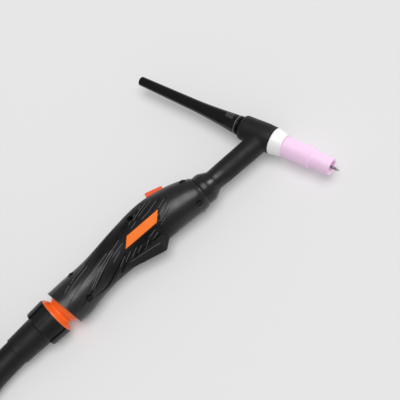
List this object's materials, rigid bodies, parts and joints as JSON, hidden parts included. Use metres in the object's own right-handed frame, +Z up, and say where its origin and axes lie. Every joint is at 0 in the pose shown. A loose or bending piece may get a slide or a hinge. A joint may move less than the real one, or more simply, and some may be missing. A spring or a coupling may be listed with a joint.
{
  "type": "tig torch",
  "caption": "Tig welding torch with an angled head, a two-shell trigger grip, a ball-joint lead outlet, a coiled hose bundle and its plugs.",
  "frame": {"origin": "centre of the lower name plate's outer face, which rests on the bench", "axes": "+X along the grip toward the head, +Y toward the trigger and the back cap, +Z up from the bench; the torch lies on its side with its mid-plane level"},
  "size_m": [0.6709, 0.32, 0.076],
  "materials": {
    "head_moulding": "satin moulded rubber over a metal core",
    "copper_core": "turned copper",
    "brass_fittings": "turned brass",
    "white_gasket": "smooth white insulator",
    "pink_alumina": "fired alumina, fine satin",
    "tungsten": "ground grey metal",
    "cap_gloss": "polished moulding",
    "o_ring_rubber": "matte",
    "grip_plastic": "fine spark-eroded grain",
    "screw_steel": "blackened cross-head screws",
    "plate_orange": "smooth orange moulding",
    "trigger_orange": "satin orange moulding",
    "switch_black": "moulded",
    "switch_ivory": "moulded",
    "cable_rubber": "matte",
    "seat_plastic": "low-friction ring",
    "knuckle_orange": "satin orange moulding",
    "collar_plastic": "fine grain",
    "boot_rubber": "matte",
    "sleeve_leather": "smooth black hose cover",
    "hose_rubber": "extruded rubber",
    "plug_rubber": "moulded rubber",
    "plug_plastic": "moulded"
  },
  "bodies": {
    "lead": {"ball_knuckle": "knuckle_orange", "sleeve_boot": "boot_rubber", "lead_sleeve": "sleeve_leather", "lead_coil": "sleeve_leather", "lead_coil_exit": "sleeve_leather", "power_cable_tail": "hose_rubber", "gas_hose_tail": "hose_rubber", "control_cable_tail": "hose_rubber", "lead_end_cuff": "boot_rubber", "power_plug_body": "plug_rubber", "power_plug_pin": "brass_fittings", "gas_hose_ferrule": "brass_fittings", "gas_nipple": "brass_fittings", "control_plug_body": "plug_plastic", "control_plug_pins": "brass_fittings"},
    "collar": {"collar_nut": "collar_plastic"},
    "control_ring": {"control_plug_ring": "plug_plastic"},
    "seat_ring": {"ball_seat_ring": "seat_plastic"},
    "handle": {"handle_shell_upper": "grip_plastic", "handle_shell_lower": "grip_plastic", "handle_screws": "screw_steel", "name_plate_upper": "plate_orange", "name_plate_lower": "plate_orange", "torch_head_cover": "head_moulding", "torch_head_core": "copper_core", "neck_tube": "copper_core", "collet_body": "copper_core", "collet": "copper_core", "cable_crimp": "brass_fittings", "inner_power_cable": "cable_rubber", "microswitch": "switch_black"},
    "trigger": {"trigger_button": "trigger_orange"},
    "plunger": {"switch_plunger": "switch_ivory"},
    "gasket": {"cup_gasket": "white_gasket"},
    "nozzle": {"gas_nozzle": "pink_alumina"},
    "cap_ring": {"back_cap_o_ring": "o_ring_rubber"},
    "cap": {"back_cap": "cap_gloss"},
    "electrode": {"tungsten_electrode": "tungsten"}
  },
  "joints": [
    {"name": "collar_turn", "type": "hinge", "parent": "lead", "child": "collar", "pos_m": [-0.11371, 0.00074, 0.01895], "axis": [-0.998, -0.0174, -0.061], "continuous": true},
    {"name": "control_ring_turn", "type": "hinge", "parent": "lead", "child": "control_ring", "pos_m": [-0.43699, 0.02662, 0.0576], "axis": [-0.7873, 0.6166, 0], "continuous": true},
    {"name": "ball_swing", "type": "hinge", "parent": "lead", "child": "seat_ring", "pos_m": [-0.08836, 0.00119, 0.0205], "axis": [0, 0, 1], "range_deg": [-22.5, 3.5]},
    {"name": "ball_nod", "type": "hinge", "parent": "seat_ring", "child": "handle", "pos_m": [-0.08836, 0.00119, 0.0205], "axis": [0, 1, 0], "range_deg": [-16.5, 9.5]},
    {"name": "trigger_press", "type": "slide", "parent": "handle", "child": "trigger", "axis": [-0.2079, -0.9781, 0], "range_m": [0, 0.0016], "stiffness_N_per_m": 1500, "springref_m": -0.0008},
    {"name": "plunger_press", "type": "slide", "parent": "handle", "child": "plunger", "axis": [-0.2079, -0.9781, 0], "range_m": [0, 0.0016]},
    {"name": "nozzle_draw", "type": "slide", "parent": "handle", "child": "gasket", "axis": [0.342, -0.9397, 0], "range_m": [0, 0.00375]},
    {"name": "nozzle_turn", "type": "hinge", "parent": "gasket", "child": "nozzle", "pos_m": [0.14251, -0.01926, 0.0205], "axis": [0.342, -0.9397, 0], "range_deg": [0, 1080.1]},
    {"name": "cap_draw", "type": "slide", "parent": "handle", "child": "cap_ring", "axis": [-0.342, 0.9397, 0], "range_m": [0, 0.00375]},
    {"name": "cap_turn", "type": "hinge", "parent": "cap_ring", "child": "cap", "pos_m": [0.12763, 0.02161, 0.0205], "axis": [-0.342, 0.9397, 0], "range_deg": [0, 1080.1]},
    {"name": "electrode_slide", "type": "slide", "parent": "handle", "child": "electrode", "axis": [0.342, -0.9397, 0], "range_m": [-0.0075, 0.03]}
  ],
  "couplings": [
    {"joint": "plunger_press", "follows": "trigger_press", "ratio": 1},
    {"joint": "nozzle_turn", "follows": "nozzle_draw", "rad_per_m": 5026.5},
    {"joint": "cap_turn", "follows": "cap_draw", "rad_per_m": 5026.5}
  ]
}
